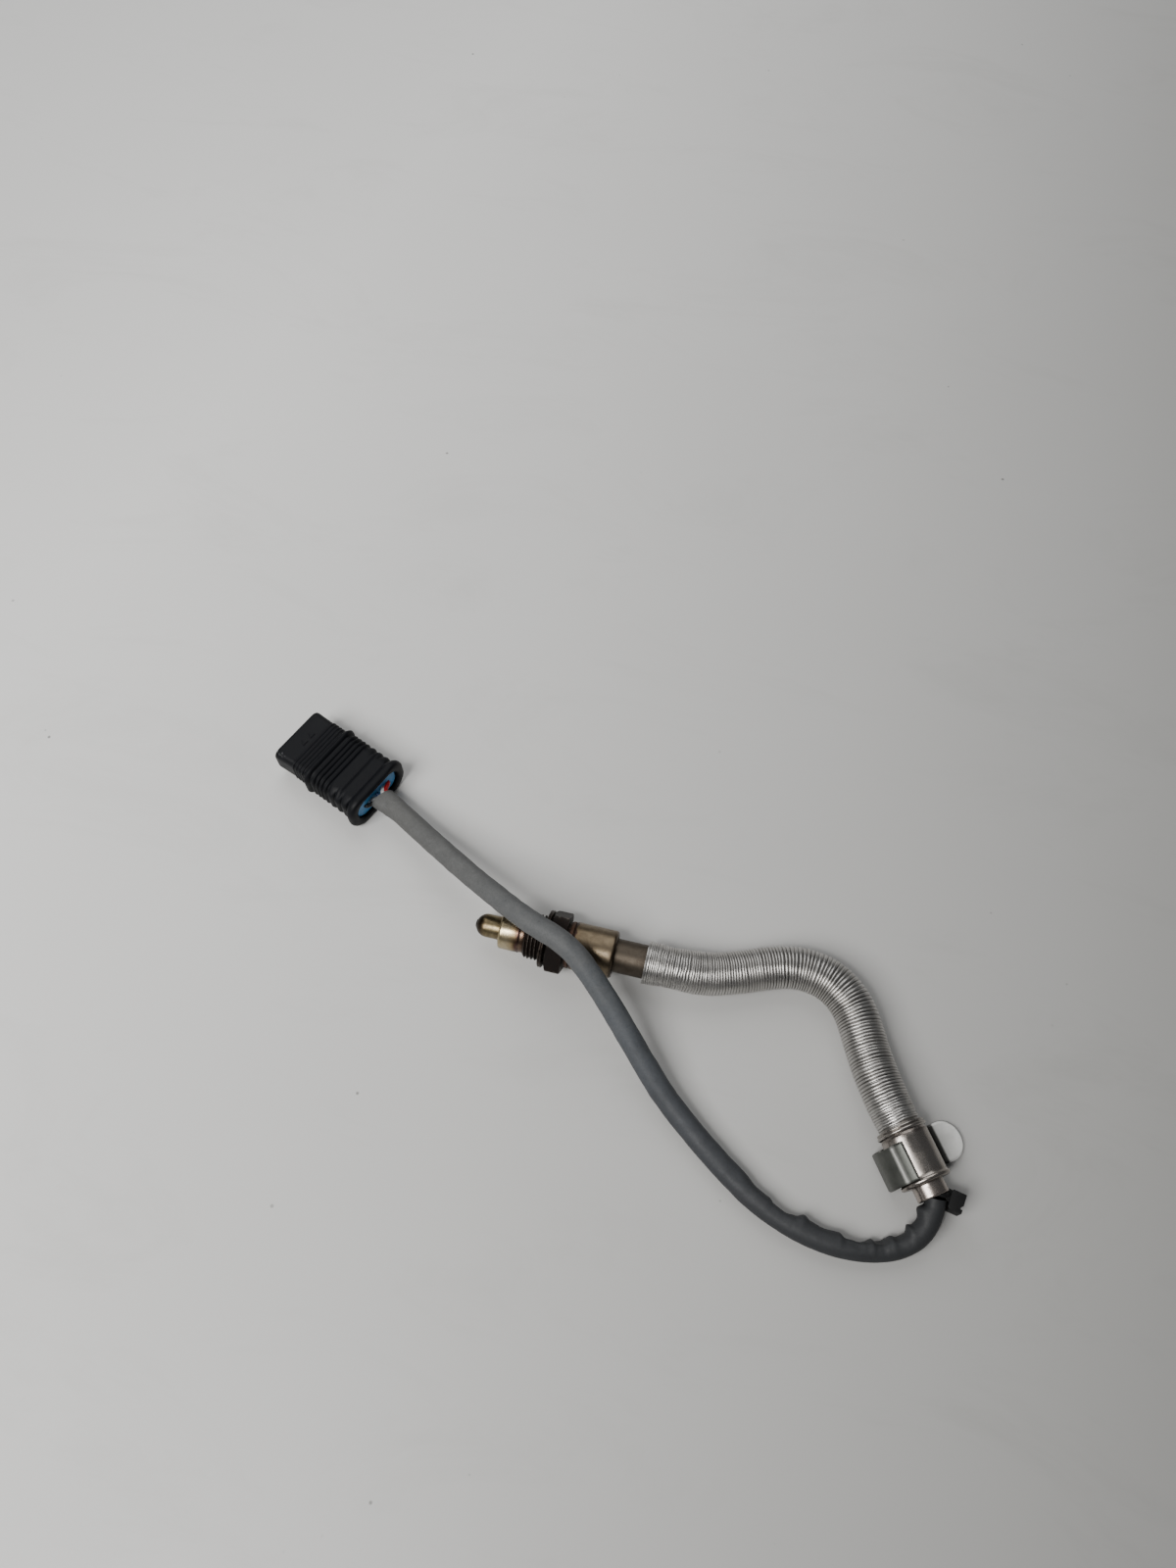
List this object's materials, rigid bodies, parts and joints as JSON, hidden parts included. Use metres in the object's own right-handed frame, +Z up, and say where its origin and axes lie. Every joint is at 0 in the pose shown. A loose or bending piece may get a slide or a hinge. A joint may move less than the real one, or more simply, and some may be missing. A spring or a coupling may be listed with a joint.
{
  "type": "oxygen sensor",
  "caption": "Automotive oxygen sensor: threaded probe body with captive gasket, corrugated metal conduit, end ferrule with spring clip, sheathed cable and flat plug with blade terminals.",
  "frame": {"origin": "on the ground plane, under the middle of the sensor body (tip to end of rear collar)", "axes": "+X along the sensor axis from the measuring tip towards the cable end, +Z up, the part lying on Z = 0 on a flat of its wrench hexagon"},
  "size_m": [0.2977, 0.1634, 0.0392],
  "materials": {
    "tip_steel": "heat-stained, satin",
    "shield_steel": "heat-stained, satin",
    "housing_steel": "dark, heat-blackened",
    "gasket_steel": "dark, satin",
    "sleeve_steel": "heat-stained, satin",
    "collar_steel": "satin, faintly stained",
    "ceramic": "fired ceramic",
    "powder": "pressed powder",
    "contact_alloy": "spring alloy",
    "grommet_rubber": "matte",
    "lead_insulation": "matte",
    "conduit_aluminium": "bright, corrugated",
    "ferrule_steel": "bright, slightly stained",
    "clip_steel": "grey, satin",
    "sheath_rubber": "matte grey",
    "holder_plastic": "matte black",
    "boot_plastic": "matte black",
    "shell_plastic": "fine-textured black",
    "seal_rubber": "silicone blue",
    "carrier_plastic": "matte dark grey",
    "lock_plastic": "matte violet",
    "blade_brass": "tinned",
    "insulation_black": "satin",
    "insulation_grey": "satin",
    "insulation_blue": "satin",
    "insulation_white": "satin",
    "insulation_red": "satin"
  },
  "bodies": {
    "root": {"tip_tube": "tip_steel", "outer_tube": "shield_steel", "sensor_housing": "housing_steel", "gasket_ring": "gasket_steel", "protective_sleeve": "sleeve_steel", "rear_collar": "collar_steel", "sensor_element": "ceramic", "front_insulator": "ceramic", "powder_seal": "powder", "rear_insulator": "ceramic", "contact_holder": "ceramic", "contact_springs": "contact_alloy", "rear_grommet": "grommet_rubber", "sensor_leads": "lead_insulation", "conduit_hose": "conduit_aluminium", "end_ferrule": "ferrule_steel", "ferrule_bush": "grommet_rubber", "spring_clip": "clip_steel", "cable_sheath": "sheath_rubber", "exit_holder": "holder_plastic", "connector_boot": "boot_plastic", "wire_seal": "seal_rubber", "connector_shell": "shell_plastic", "terminal_carrier": "carrier_plastic", "lock_slide": "lock_plastic", "terminal_blades": "blade_brass", "wire_black": "insulation_black", "wire_grey": "insulation_grey", "wire_blue": "insulation_blue", "wire_white": "insulation_white", "wire_red": "insulation_red"}
  },
  "joints": []
}
